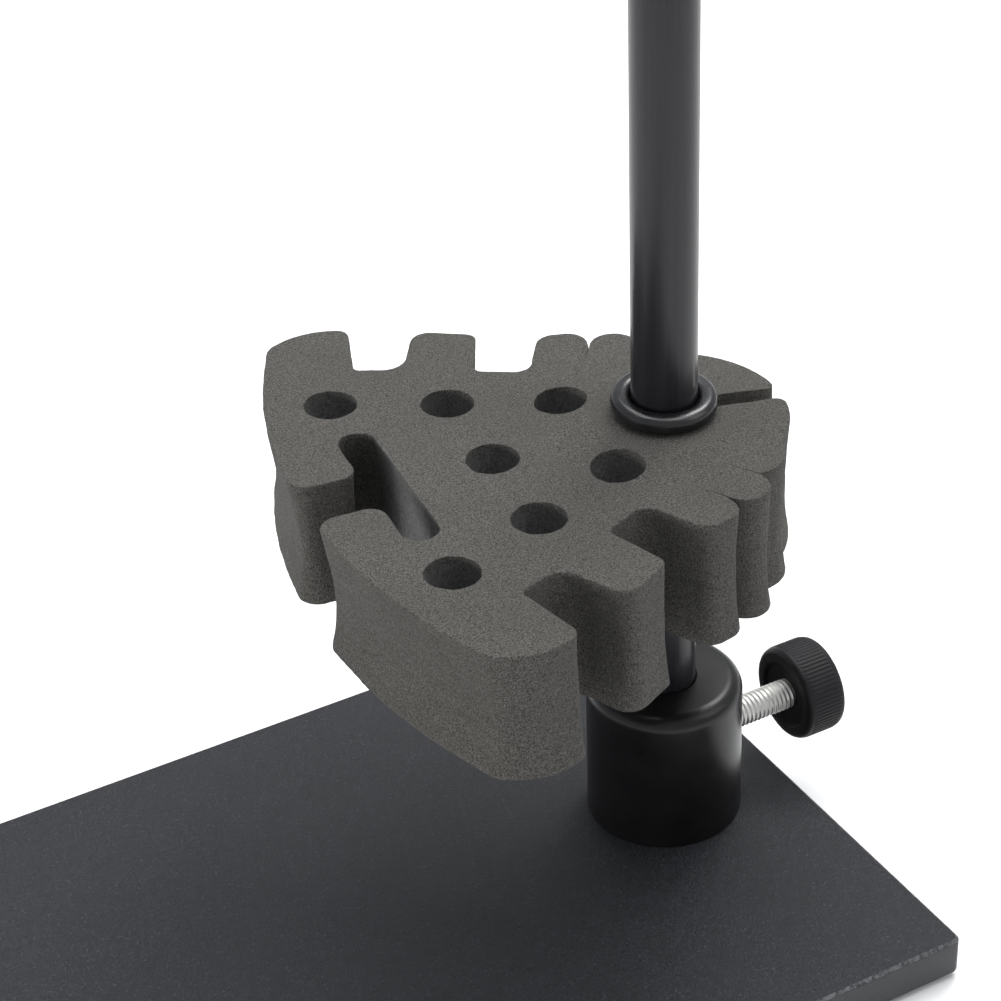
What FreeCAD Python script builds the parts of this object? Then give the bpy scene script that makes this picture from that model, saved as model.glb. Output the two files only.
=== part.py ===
import FreeCAD, Part
import math
import os
import re

import Sketcher
from FreeCAD import Placement, Rotation, Vector

# Fly tying tool organizer: a slotted foam caddy held on a post by two rubber
# rings, with the post clamped in a hub on a heavy base plate.
# The origin is on the post's axis, at the underside of the base pad.
# +Z is up, and +X runs along the plate towards the clamp knob.

os.makedirs("parts", exist_ok=True)
doc = FreeCAD.newDocument("tool_organizer")
sheet = doc.addObject("Spreadsheet::Sheet", "sizes")

SIZES = {
    # Gap between a shaft and its hole, on the radius, and between faces that only meet
    "running_gap": 0.05,
    "touch_gap": 0.15,
    "upper_ring_gap": 1.2,
    # Base plate, with its anti-slip pad below
    "pad_thickness": 1.0,
    "pad_inset": 3.0,
    "plate_length": 152.0,
    "plate_width": 105.0,
    "plate_thickness": 6.5,
    "plate_overhang": 20.8,
    "plate_corner": 1.5,
    "plate_bevel": 0.7,
    # Hub, and the three countersunk screws that hold it from below
    "hub_diameter": 25.0,
    "hub_height": 25.4,
    "hub_shoulder": 2.0,
    "screw_circle": 17.6,
    "screw_diameter": 4.0,
    "screw_length": 14.0,
    "screw_head_diameter": 8.0,
    "screw_head_height": 2.2,
    "screw_socket_width": 2.5,
    "screw_socket_depth": 1.4,
    "screw_gap": 0.2,
    # Post
    "post_diameter": 10.0,
    "post_length": 200.0,
    "post_bevel": 0.8,
    # Clamp screw: heights are above the plate, reaches are from the post's axis
    "clamp_height": 12.0,
    "stud_diameter": 5.0,
    "stud_bevel": 0.5,
    "stud_seat": 4.5,
    "knob_reach": 23.3,
    "knob_width": 7.2,
    "knob_diameter": 16.0,
    "knob_edge": 0.9,
    "knob_recess_diameter": 11.4,
    "knob_recess_depth": 0.7,
    # Rubber rings
    "ring_section": 3.0,
    # Foam caddy: its underside's height above the plate, and its turn about the post
    "foam_height": 52.7,
    "foam_thickness": 21.0,
    "foam_turn": -6.8,
    "foam_hole_diameter": 8.1,
    "centre_hole_reach": 27.9,
    "inner_hole_reach": 12.4,
    "inner_hole_side": 10.3,
    "middle_hole_reach": 28.0,
    "middle_hole_side": 17.35,
    "outer_hole_reach": 44.1,
    "outer_hole_side": 24.7,
    "foam_slit_width": 2.4,
    "foam_slit_reach": 24.0,
    "foam_slit_turn": -5.0,
    "kerf_width": 0.6,
    "entry_width": 8.7,
    "slot_width": 5.6,
    "slot_length": 30.9,
    "slot_reach": 44.3,
    "fan_reach": 57.6,
}
for row, (name, value) in enumerate(SIZES.items(), start=1):
    sheet.set(f"A{row}", name)
    sheet.set(f"B{row}", str(value))
    sheet.setAlias(f"B{row}", name)
doc.recompute()


def size(expression):
    """The present value of a formula written with the sheet's names."""
    return float(sheet.evalExpression(expression))


def formula(text):
    """A formula on the sheet's names, as another object of the document reads it."""
    def full_name(word):
        return f"sizes.{word[0]}" if word[0] in SIZES else word[0]
    return re.sub("[a-z_]+", full_name, text)


def bind(feature, **formulas):
    """Bind properties of a feature to formulas on the sheet."""
    for prop, text in formulas.items():
        feature.setExpression(prop, formula(text))


def place(item, across="0 mm", along="0 mm", up="0 mm", rotation=Rotation()):
    """Turn a sub-part, and bind its position to the sheet."""
    item.Placement = Placement(Vector(0, 0, 0), rotation)
    for axis, text in (("x", across), ("y", along), ("z", up)):
        item.setExpression(f"Placement.Base.{axis}", formula(text))


PLATE_TOP = "(pad_thickness + plate_thickness) * 1 mm"


# Sketches and features inside a body

def new_body(label):
    body = doc.addObject("PartDesign::Body", label)
    body.Label = label
    return body


def new_sketch(body, name, role):
    """An empty sketch on one of the body's own origin planes."""
    sketch = body.newObject("Sketcher::SketchObject", name)
    support = next(item for item in body.Origin.OriginFeatures if item.Role == role)
    sketch.AttachmentSupport = [(support, "")]
    sketch.MapMode = "FlatFace"
    return sketch


def hold_point(sketch, edge, end, across, along):
    """Hold one point of a sketch at formulas measured from the sketch's origin."""
    for kind, text, axis in (("DistanceX", across, -2), ("DistanceY", along, -1)):
        if text == "0":
            sketch.addConstraint(Sketcher.Constraint("PointOnObject", edge, end, axis))
            continue
        number = sketch.addConstraint(Sketcher.Constraint(kind, -1, 1, edge, end, size(text)))
        sketch.setExpression(f"Constraints[{number}]", formula(f"({text}) * 1 mm"))


def draw_polygon(sketch, corners):
    """A closed polygon whose corners are pairs of formulas."""
    points = [Vector(size(across), size(along), 0) for across, along in corners]
    count = len(points)
    for start, end in zip(points, points[1:] + points[:1]):
        sketch.addGeometry(Part.LineSegment(start, end), False)
    for edge in range(count):
        sketch.addConstraint(Sketcher.Constraint("Coincident", edge, 2, (edge + 1) % count, 1))
    for edge, (across, along) in enumerate(corners):
        hold_point(sketch, edge, 1, across, along)


def draw_circle(sketch, diameter, across="0", along="0"):
    centre = Vector(size(across), size(along), 0)
    radius = size(diameter) / 2
    edge = sketch.addGeometry(Part.Circle(centre, Vector(0, 0, 1), radius), False)
    number = sketch.addConstraint(Sketcher.Constraint("Radius", edge, radius))
    sketch.setExpression(f"Constraints[{number}]", formula(f"({diameter}) / 2 * 1 mm"))
    if across == along == "0":
        sketch.addConstraint(Sketcher.Constraint("Coincident", edge, 3, -1, 1))
    else:
        hold_point(sketch, edge, 3, across, along)


def add_pad(body, name, sketch, length):
    pad = body.newObject("PartDesign::Pad", name)
    pad.Profile = sketch
    bind(pad, Length=f"({length}) * 1 mm")
    sketch.Visibility = False
    doc.recompute()
    return pad


def add_cut(body, name, sketch, depth):
    """Pocket a sketch along its normal, and make sure that it removed something."""
    before = body.Shape.Volume
    pocket = body.newObject("PartDesign::Pocket", name)
    pocket.Profile = sketch
    pocket.Reversed = True
    bind(pocket, Length=f"({depth}) * 1 mm")
    sketch.Visibility = False
    doc.recompute()
    assert body.Shape.Volume < before - 1e-3, f"{name} removes nothing"
    return pocket


def add_turning(body, name, sketch):
    """Turn a profile drawn on the XZ plane about the body's Z axis."""
    turning = body.newObject("PartDesign::Revolution", name)
    turning.Profile = sketch
    turning.ReferenceAxis = (sketch, ["V_Axis"])
    turning.Angle = 360
    sketch.Visibility = False
    doc.recompute()
    return turning


def dress(body, kind, name, wanted, amount):
    """Fillet or chamfer the tip's edges that a test picks out."""
    base = body.Tip
    edges = [f"Edge{i}" for i, edge in enumerate(base.Shape.Edges, start=1) if wanted(edge)]
    feature = body.newObject(f"PartDesign::{kind}", name)
    feature.Base = (base, edges)
    bind(feature, **{"Radius" if kind == "Fillet" else "Size": f"({amount}) * 1 mm"})
    doc.recompute()
    return feature


def add_polar_copies(body, name, original, count):
    """Repeat a feature evenly around the body's Z axis."""
    pattern = body.newObject("PartDesign::PolarPattern", name)
    pattern.Originals = [original]
    pattern.Axis = (next(item for item in body.Origin.OriginFeatures if item.Role == "Z_Axis"), [""])
    pattern.Angle = 360
    pattern.Occurrences = count
    body.Tip = pattern
    doc.recompute()
    return pattern


def is_upright(edge):
    direction = edge.tangentAt(edge.FirstParameter)
    return isinstance(edge.Curve, Part.Line) and abs(direction.z) > 0.99


def is_level_at(height, radius=None):
    """A test for edges at one height, and for rims of one radius there."""
    def wanted(edge):
        box = edge.BoundBox
        level = box.ZLength < 1e-4 and abs(box.ZMin - size(height)) < 1e-4
        if radius is None:
            return level
        return level and isinstance(edge.Curve, Part.Circle) and abs(edge.Curve.Radius - size(radius)) < 1e-4
    return wanted


# Base

def rectangle(inset):
    """The plate's outline, drawn in by an inset."""
    near = f"plate_overhang - {inset}"
    far = f"plate_overhang - plate_length + {inset}"
    side = f"plate_width / 2 - {inset}"
    return [(far, f"-({side})"), (near, f"-({side})"), (near, side), (far, side)]


SCREW_COUNT = 3


def make_base_pad():
    body = new_body("base_pad")
    sketch = new_sketch(body, "pad_outline", "XY_Plane")
    draw_polygon(sketch, rectangle("pad_inset"))
    add_pad(body, "pad_sheet", sketch, "pad_thickness")
    dress(body, "Fillet", "pad_corners", is_upright, "plate_corner")
    return body


def make_base_plate():
    body = new_body("base_plate")
    outline = new_sketch(body, "plate_outline", "XY_Plane")
    draw_polygon(outline, rectangle("0"))
    add_pad(body, "plate_blank", outline, "plate_thickness")
    dress(body, "Fillet", "plate_corners", is_upright, "plate_corner")
    dress(body, "Chamfer", "plate_bevel_top", is_level_at("plate_thickness"), "plate_bevel")
    # A countersunk screw hole, turned about its own centre line and repeated
    profile = new_sketch(body, "screw_hole_profile", "XZ_Plane")
    centre = "-(screw_circle / 2)"
    shank = f"{centre} - screw_diameter / 2 - screw_gap"
    rim = f"{centre} - screw_head_diameter / 2 - screw_gap"
    below = "-screw_gap"
    above = "plate_thickness + screw_gap"
    draw_polygon(profile, [(centre, below), (rim, below), (rim, "0"), (shank, "screw_head_height"),
                           (shank, above), (centre, above)])
    before = body.Shape.Volume
    hole = body.newObject("PartDesign::Groove", "screw_hole")
    hole.Profile = profile
    hole.ReferenceAxis = (profile, ["Edge6"])
    hole.Angle = 360
    doc.recompute()
    assert body.Shape.Volume < before - 1, "screw_hole removes nothing"
    add_polar_copies(body, "screw_holes", hole, SCREW_COUNT)
    place(body, up="pad_thickness * 1 mm")
    return body


def make_hub():
    body = new_body("hub")
    bore = "post_diameter / 2 + running_gap"
    section = new_sketch(body, "hub_section", "XZ_Plane")
    draw_polygon(section, [(bore, "0"), ("hub_diameter / 2", "0"),
                           ("hub_diameter / 2", "hub_height"), (bore, "hub_height")])
    add_turning(body, "hub_blank", section)
    dress(body, "Fillet", "hub_rounding", is_level_at("hub_height", "hub_diameter / 2"), "hub_shoulder")
    # The tapped hole for the clamp screw goes through one wall, towards the knob
    tapping = new_sketch(body, "clamp_hole_outline", "YZ_Plane")
    draw_circle(tapping, "stud_diameter + 2 * running_gap", "0", "clamp_height")
    add_cut(body, "clamp_hole", tapping, "hub_diameter")
    # The first screw is opposite the clamp screw, so none lies under it
    seat = new_sketch(body, "screw_seat_outline", "XY_Plane")
    draw_circle(seat, "screw_diameter", "-(screw_circle / 2)", "0")
    hole = add_cut(body, "screw_seat", seat, "screw_length - plate_thickness + 1")
    add_polar_copies(body, "screw_seats", hole, SCREW_COUNT)
    place(body, up=PLATE_TOP)
    return body


def make_hub_screw(number):
    """A countersunk screw with a hexagon socket, head down, flush under the plate."""
    head = doc.addObject("Part::Cone", f"screw_head_{number}")
    bind(head, Radius1="screw_head_diameter / 2 * 1 mm", Radius2="screw_diameter / 2 * 1 mm",
         Height="screw_head_height * 1 mm")
    shank = doc.addObject("Part::Cylinder", f"screw_shank_{number}")
    bind(shank, Radius="screw_diameter / 2 * 1 mm", Height="screw_length * 1 mm")
    blank = doc.addObject("Part::MultiFuse", f"screw_blank_{number}")
    blank.Shapes = [head, shank]
    socket = doc.addObject("Part::Prism", f"screw_socket_{number}")
    socket.Polygon = 6
    bind(socket, Circumradius="screw_socket_width / sqrt(3) * 1 mm", Height="screw_socket_depth * 1 mm")
    screw = doc.addObject("Part::Cut", f"hub_screw_{number}")
    screw.Base = blank
    screw.Tool = socket
    screw.Label = f"hub_screw_{number}"
    turn = 180 + 360 / SCREW_COUNT * (number - 1)
    place(screw, across=f"screw_circle / 2 * cos({turn} deg) * 1 mm",
          along=f"screw_circle / 2 * sin({turn} deg) * 1 mm", up="pad_thickness * 1 mm")
    return screw


# Post and clamp screw

def make_post():
    body = new_body("post")
    outline = new_sketch(body, "post_outline", "XY_Plane")
    draw_circle(outline, "post_diameter")
    add_pad(body, "post_rod", outline, "post_length")
    ends = (is_level_at("0"), is_level_at("post_length"))
    dress(body, "Chamfer", "post_ends", lambda edge: any(end(edge) for end in ends), "post_bevel")
    place(body, up=PLATE_TOP)
    return body


POINTING_AT_KNOB = Rotation(Vector(0, 1, 0), 90)
CLAMP_AXIS = "(pad_thickness + plate_thickness + clamp_height) * 1 mm"
STUD_TIP = "post_diameter / 2 + touch_gap"


def make_clamp_stud():
    body = new_body("clamp_stud")
    length = f"knob_reach + knob_recess_depth + stud_seat - ({STUD_TIP})"
    outline = new_sketch(body, "stud_outline", "XY_Plane")
    draw_circle(outline, "stud_diameter")
    add_pad(body, "stud_rod", outline, length)
    ends = (is_level_at("0"), is_level_at(length))
    dress(body, "Chamfer", "stud_ends", lambda edge: any(end(edge) for end in ends), "stud_bevel")
    place(body, across=f"({STUD_TIP}) * 1 mm", up=CLAMP_AXIS, rotation=POINTING_AT_KNOB)
    return body


def make_clamp_knob():
    body = new_body("clamp_knob")
    outline = new_sketch(body, "knob_outline", "XY_Plane")
    draw_circle(outline, "knob_diameter")
    add_pad(body, "knob_blank", outline, "knob_width")
    rims = (is_level_at("0"), is_level_at("knob_width"))
    dress(body, "Fillet", "knob_rims", lambda edge: any(rim(edge) for rim in rims), "knob_edge")
    recess = new_sketch(body, "knob_recess_outline", "XY_Plane")
    draw_circle(recess, "knob_recess_diameter")
    add_cut(body, "knob_recess", recess, "knob_recess_depth")
    seat = new_sketch(body, "knob_seat_outline", "XY_Plane")
    draw_circle(seat, "stud_diameter + 2 * running_gap")
    add_cut(body, "knob_seat", seat, "knob_recess_depth + stud_seat + touch_gap")
    place(body, across="knob_reach * 1 mm", up=CLAMP_AXIS, rotation=POINTING_AT_KNOB)
    return body


# Rubber rings

def make_ring(label, height):
    ring = doc.addObject("Part::Torus", label)
    ring.Label = label
    bind(ring, Radius1="(post_diameter / 2 + running_gap + ring_section / 2) * 1 mm",
         Radius2="ring_section / 2 * 1 mm")
    place(ring, up=f"(pad_thickness + plate_thickness + {height}) * 1 mm")
    return ring


# Foam caddy, drawn in its own frame: the fan points along -X and both halves are alike

# Thin cuts that run in from the valleys between the lobes, from mouth to root
KERFS = [((-1.6, 23.7), (-4.6, 19.2)), ((5.4, 20.4), (0.8, 14.9))]
KERF_OVERRUN = 1.5


def half_outline():
    """Corners of one half, from the slot round to the slit: across, along and rounding.

    A crest, in place of a rounding, is the top of a round lobe between two valleys.
    """
    slot_near = -size("slot_reach - slot_width / 2")
    slot_far = -size("slot_reach + slot_width / 2")
    slot_end = size("slot_length / 2")
    slot_round = size("slot_width / 2") - 0.01
    entry_side = size("entry_width / 2")
    fan_end = -size("fan_reach")
    slot = [
        (slot_near, slot_end, slot_round),
        (slot_far, slot_end, slot_round),
        (slot_far, entry_side, 2.8),
        (fan_end, entry_side, 3.2),
    ]
    finger = [
        (-55.4, 26.0, 95.0),
        (-47.4, 45.1, 4.0),
        (-41.0, 47.7, 10.0),
        (-33.7, 45.4, 2.2),
        (-37.4, 33.0, 1.0),
        (-30.3, 29.9, 3.8),
    ]
    middle_lobe = [
        (-24.7, 40.3, 3.0),
        (-16.1, 35.0, 1.8),
        (-20.5, 24.6, 1.3),
        (-13.1, 20.6, 2.8),
    ]
    small_lobes = [
        (-7.6, 30.2, 3.2),
        (-0.3, 28.4, 3.2),
        (-1.6, 23.7, 0),
        (2.3, 26.15, "crest"),
        (5.4, 20.4, 0),
        (10.3, 18.9, "crest"),
        (12.3, 14.1, 0),
        (18.75, 8.5, 18.3),
    ]
    return slot + finger + middle_lobe + small_lobes


def rounded_path(corners):
    """Lines and arcs through the corners of a closed outline, with its roundings."""
    def point(corner):
        return Vector(corner[0], corner[1], 0)

    def rounding(before, corner, after):
        """Where a rounding starts, its middle, and where it ends."""
        here, radius = point(corner), corner[2]
        back = (point(before) - here).normalize()
        ahead = (point(after) - here).normalize()
        half_angle = math.acos(max(-1.0, min(1.0, back.dot(ahead)))) / 2
        reach = radius / math.tan(half_angle)
        bisector = (back + ahead).normalize()
        middle = here + bisector * (radius / math.sin(half_angle) - radius)
        return here + back * reach, middle, here + ahead * reach

    path, stops = [], []
    count = len(corners)
    for i, corner in enumerate(corners):
        if corner[2] == "crest":
            continue
        before, after = corners[i - 1], corners[(i + 1) % count]
        if corner[2]:
            stops.append(rounding(before, corner, after))
        else:
            stops.append((point(corner), None, point(corner)))
        if after[2] == "crest":
            stops.append((None, point(after), None))
    for i, (start, middle, end) in enumerate(stops):
        following = stops[(i + 1) % len(stops)]
        if start is None:
            path.append(Part.Arc(stops[i - 1][2], middle, following[0]))
            continue
        if middle is not None:
            path.append(Part.Arc(start, middle, end))
        if following[0] is not None:
            path.append(Part.LineSegment(end, following[0]))
    return path


def make_foam_caddy():
    body = new_body("foam_caddy")
    half = half_outline()
    other = [(across, -along, kind) for across, along, kind in reversed(half)]
    outline = new_sketch(body, "caddy_outline", "XY_Plane")
    outline.addGeometry(rounded_path(half + other), False)
    for edge in range(outline.GeometryCount):
        outline.addConstraint(Sketcher.Constraint("Block", edge))
    add_pad(body, "caddy_block", outline, "foam_thickness")
    holes = new_sketch(body, "tool_hole_outlines", "XY_Plane")
    draw_circle(holes, "foam_hole_diameter", "-centre_hole_reach", "0")
    for pair in ("inner", "middle", "outer"):
        for side in ("", "-"):
            draw_circle(holes, "foam_hole_diameter", f"-{pair}_hole_reach", f"{side}{pair}_hole_side")
    add_cut(body, "tool_holes", holes, "foam_thickness")
    bore = new_sketch(body, "post_hole_outline", "XY_Plane")
    draw_circle(bore, "post_diameter + 2 * running_gap")
    add_cut(body, "post_hole", bore, "foam_thickness")
    # The slit lets the caddy be pushed onto the post from the side
    slit = new_sketch(body, "slit_outline", "XY_Plane")
    side = "foam_slit_width / 2"
    draw_polygon(slit, [("0", f"-{side}"), ("foam_slit_reach", f"-{side}"),
                        ("foam_slit_reach", side), ("0", side)])
    slit.AttachmentOffset = Placement(Vector(), Rotation(Vector(0, 0, 1), size("foam_slit_turn")))
    add_cut(body, "slit", slit, "foam_thickness")
    kerfs = new_sketch(body, "kerf_outlines", "XY_Plane")
    half_width = size("kerf_width / 2")
    for mouth, root in KERFS:
        for side in (1, -1):
            start, end = Vector(mouth[0], side * mouth[1], 0), Vector(root[0], side * root[1], 0)
            along = (start - end).normalize()
            out = Vector(-along.y, along.x, 0) * half_width
            beyond = start + along * KERF_OVERRUN
            ring = [end - out, beyond - out, beyond + out, end + out]
            kerfs.addGeometry([Part.LineSegment(a, b) for a, b in zip(ring, ring[1:] + ring[:1])], False)
    for edge in range(kerfs.GeometryCount):
        kerfs.addConstraint(Sketcher.Constraint("Block", edge))
    add_cut(body, "kerfs", kerfs, "foam_thickness")
    place(body, up="(pad_thickness + plate_thickness + foam_height) * 1 mm",
          rotation=Rotation(Vector(0, 0, 1), size("foam_turn")))
    return body


def main():
    sub_parts = [make_base_pad(), make_base_plate(), make_hub()]
    sub_parts += [make_hub_screw(number) for number in range(1, SCREW_COUNT + 1)]
    sub_parts += [
        make_post(),
        make_clamp_stud(),
        make_clamp_knob(),
        make_ring("lower_ring", "foam_height - touch_gap - ring_section / 2"),
        make_foam_caddy(),
        make_ring("upper_ring", "foam_height + foam_thickness + upper_ring_gap + ring_section / 2"),
    ]
    doc.recompute()
    for item in doc.Objects:
        assert not {"Invalid", "Error"} & set(item.State), f"{item.Name}: {item.State}"
    for item in sub_parts:
        assert not item.Shape.isNull() and item.Shape.isValid(), f"{item.Label} has no valid shape"
        assert len(item.Shape.Solids) == 1, f"{item.Label} isn't one solid"
    for item in sub_parts:
        item.Shape.exportStep(f"parts/{item.Label}.step")
        box = item.Shape.BoundBox
        print(f"{item.Label:14s} volume {item.Shape.Volume:10.1f}"
              f"  x {box.XMin:7.2f} {box.XMax:7.2f}  y {box.YMin:7.2f} {box.YMax:7.2f}"
              f"  z {box.ZMin:7.2f} {box.ZMax:7.2f}")


main()
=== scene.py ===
import math

import bmesh
import bpy
from mathutils import Matrix, Vector, noise


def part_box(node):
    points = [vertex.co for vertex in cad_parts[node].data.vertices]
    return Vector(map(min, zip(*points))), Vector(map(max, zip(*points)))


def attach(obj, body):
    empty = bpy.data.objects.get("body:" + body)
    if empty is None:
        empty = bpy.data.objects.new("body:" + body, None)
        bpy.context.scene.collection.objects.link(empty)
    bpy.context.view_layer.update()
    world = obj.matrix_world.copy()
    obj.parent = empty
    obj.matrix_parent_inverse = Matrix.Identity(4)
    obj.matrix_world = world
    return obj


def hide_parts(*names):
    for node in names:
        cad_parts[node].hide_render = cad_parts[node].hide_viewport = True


# Fly tying tool organizer: a slotted foam caddy held on a post by two rubber
# rings, with the post clamped in a hub on a heavy powder-coated plate.

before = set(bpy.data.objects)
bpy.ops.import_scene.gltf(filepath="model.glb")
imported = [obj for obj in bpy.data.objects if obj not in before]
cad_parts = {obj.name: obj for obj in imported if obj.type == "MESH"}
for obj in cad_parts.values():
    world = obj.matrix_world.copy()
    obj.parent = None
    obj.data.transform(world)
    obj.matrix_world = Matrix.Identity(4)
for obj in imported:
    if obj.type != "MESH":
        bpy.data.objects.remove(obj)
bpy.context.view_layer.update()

MM = 0.001
# Places and main sizes come from the frame, in metres
PLATE_LOW, PLATE_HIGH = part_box("base_plate")
HUB_LOW, HUB_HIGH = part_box("hub")
POST_LOW, POST_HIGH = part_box("post")
STUD_LOW, STUD_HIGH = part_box("clamp_stud")
KNOB_LOW, KNOB_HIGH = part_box("clamp_knob")
FOAM_LOW, FOAM_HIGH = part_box("foam_caddy")
SCREW_LOW, SCREW_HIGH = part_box("hub_screw_1")
PLATE_TOP = PLATE_HIGH.z
POST_RADIUS = POST_HIGH.x
HUB_RADIUS = HUB_HIGH.x
CLAMP_HEIGHT = (STUD_LOW.z + STUD_HIGH.z) / 2
STUD_RADIUS = (STUD_HIGH.z - STUD_LOW.z) / 2
KNOB_RADIUS = (KNOB_HIGH.z - KNOB_LOW.z) / 2
RUNNING_GAP = 0.05 * MM


def held(value):
    """A value kept between 0 and 1."""
    return max(0.0, min(1.0, value))


# Meshes

MERGE_DISTANCE = 1e-7
# The sharpest turn that is shaded smooth, in degrees, where a piece names no other
SMOOTH_ANGLE = 35


def linked(name, data):
    """An object in the scene, made from a mesh, a camera or a light."""
    made = bpy.data.objects.new(name, data)
    bpy.context.scene.collection.objects.link(made)
    return made


def keep_crisp(work, smooth_angle):
    """Smooth shading, apart from edges sharper than an angle in degrees."""
    for face in work.faces:
        face.smooth = True
    for edge in work.edges:
        edge.smooth = len(edge.link_faces) == 2 and edge.calc_face_angle(0) < math.radians(smooth_angle)


def finished(name, work, smooth_angle=SMOOTH_ANGLE):
    """An object from a bmesh, with its doubles merged and its sharper edges kept crisp."""
    bmesh.ops.remove_doubles(work, verts=work.verts, dist=MERGE_DISTANCE)
    bmesh.ops.recalc_face_normals(work, faces=work.faces)
    keep_crisp(work, smooth_angle)
    mesh = bpy.data.meshes.new(name)
    work.to_mesh(mesh)
    work.free()
    return linked(name, mesh)


def join_rings(work, rings):
    """Quads between neighbouring rings of vertices."""
    count = len(rings[0])
    for low, high in zip(rings, rings[1:]):
        for i in range(count):
            j = (i + 1) % count
            work.faces.new((low[i], low[j], high[j], high[i]))


def turned(name, profile, segments):
    """A closed profile of (radius, height) pairs turned about Z; a radius of 0 closes a pole."""
    work = bmesh.new()
    rings = []
    for radius, height in profile:
        if radius == 0:
            rings.append([work.verts.new((0, 0, height))] * segments)
            continue
        turn = [2 * math.pi * i / segments for i in range(segments)]
        rings.append([work.verts.new((radius * math.cos(a), radius * math.sin(a), height)) for a in turn])
    for low, high in zip(rings, rings[1:] + rings[:1]):
        for i in range(segments):
            j = (i + 1) % segments
            corners = []
            for vertex in (low[i], low[j], high[j], high[i]):
                if vertex not in corners:
                    corners.append(vertex)
            if len(corners) > 2:
                work.faces.new(corners)
    return finished(name, work)


def rounded(corner, before, after, radius, steps):
    """Points of a rounding of a profile's corner."""
    here = Vector(corner)
    back, ahead = (Vector(before) - here).normalized(), (Vector(after) - here).normalized()
    half = back.angle(ahead) / 2
    start, end = here + back * radius / math.tan(half), here + ahead * radius / math.tan(half)
    centre = here + (back + ahead).normalized() * radius / math.sin(half)
    first, last = start - centre, end - centre
    sweep = math.pi - 2 * half
    points = []
    for i in range(steps + 1):
        share = i / steps
        weight_first = math.sin((1 - share) * sweep) / math.sin(sweep)
        weight_last = math.sin(share * sweep) / math.sin(sweep)
        points.append(tuple(centre + first * weight_first + last * weight_last))
    return points


def rounded_profile(corners, steps=5):
    """A closed profile from (radius, height, rounding) corners."""
    profile = []
    count = len(corners)
    for i, (radius, height, rounding) in enumerate(corners):
        before, after = corners[i - 1][:2], corners[(i + 1) % count][:2]
        if rounding:
            profile += rounded((radius, height), before, after, rounding, steps)
        else:
            profile.append((radius, height))
    return profile


def mark_faces(piece, name, value_of):
    """An attribute for the finishes, from a face and the place of its corner."""
    mesh = piece.data
    values = []
    for face in mesh.polygons:
        values += [value_of(face, mesh.vertices[index].co) for index in face.vertices]
    mesh.attributes.new(name, "FLOAT", "CORNER").data.foreach_set("value", values)


def along_x(piece, height):
    """Lay a piece turned about Z along +X, at a height."""
    piece.data.transform(Matrix.Translation((0, 0, height)) @ Matrix.Rotation(math.pi / 2, 4, "Y"))
    return piece


def cut_by(piece, cutter):
    """Take a cutter out of a piece, and throw the cutter away."""
    cut = piece.modifiers.new("cut", "BOOLEAN")
    cut.object = cutter
    cut.solver = "EXACT"
    graph = bpy.context.evaluated_depsgraph_get()
    mesh = bpy.data.meshes.new_from_object(piece.evaluated_get(graph))
    piece.modifiers.remove(cut)
    piece.data = mesh
    bpy.data.objects.remove(cutter)
    work = bmesh.new()
    work.from_mesh(mesh)
    keep_crisp(work, SMOOTH_ANGLE)
    work.to_mesh(mesh)
    work.free()


# Loops drawn in a plane, in millimetres

ARC_STEP, LINE_STEP = 0.35, 0.8


def circle_through(start, middle, end):
    """Centre and radius of the circle through three points."""
    a, b = middle - start, end - start
    turn = 2 * (a.x * b.y - a.y * b.x)
    centre = start + Vector((b.y * a.length_squared - a.y * b.length_squared,
                             a.x * b.length_squared - b.x * a.length_squared)) / turn
    return centre, (start - centre).length


def arc_points(start, middle, end):
    """Points along an arc, with its start and without its end."""
    centre, radius = circle_through(start, middle, end)
    first, halfway, last = (math.atan2(p.y - centre.y, p.x - centre.x) for p in (start, middle, end))
    sweep = (last - first) % (2 * math.pi)
    if (halfway - first) % (2 * math.pi) > sweep:
        sweep -= 2 * math.pi
    count = max(2, math.ceil(abs(sweep) * radius / ARC_STEP))
    turns = [first + sweep * i / count for i in range(count)]
    return [centre + radius * Vector((math.cos(a), math.sin(a))) for a in turns]


def line_points(start, end, step=LINE_STEP):
    """Points along a line, with its start and without its end."""
    count = max(1, math.ceil((end - start).length / step))
    return [start.lerp(end, i / count) for i in range(count)]


def drawn_path(corners):
    """Points along an open path with rounded corners.

    A corner's third value is its rounding, or "crest" for the top of a round lobe.
    """
    stops = []
    for i, (across, along, kind) in enumerate(corners):
        here = Vector((across, along))
        if kind == "crest":
            stops.append((None, here, None))
            continue
        if not kind or i in (0, len(corners) - 1):
            stops.append((here, None, here))
            continue
        back = (Vector(corners[i - 1][:2]) - here).normalized()
        ahead = (Vector(corners[i + 1][:2]) - here).normalized()
        half = back.angle(ahead) / 2
        reach = kind / math.tan(half)
        middle = here + (back + ahead).normalized() * (kind / math.sin(half) - kind)
        stops.append((here + back * reach, middle, here + ahead * reach))
    points = []
    for i, (start, middle, end) in enumerate(stops):
        if start is None:
            points += arc_points(stops[i - 1][2], middle, stops[i + 1][0])
            continue
        if middle is not None:
            points += arc_points(start, middle, end)
        if i + 1 < len(stops) and stops[i + 1][0] is not None:
            points += line_points(end, stops[i + 1][0])
    points.append(stops[-1][2])
    return points


def circle_points(centre, radius, count):
    """Points round a circle, anticlockwise."""
    turns = [2 * math.pi * i / count for i in range(count)]
    return [Vector(centre) + radius * Vector((math.cos(a), math.sin(a))) for a in turns]


def outward_normals(points):
    """For a closed loop drawn anticlockwise, the outward direction at each point."""
    normals = []
    count = len(points)
    for i in range(count):
        along = points[(i + 1) % count] - points[i - 1]
        normals.append(Vector((along.y, -along.x)).normalized())
    return normals


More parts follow.
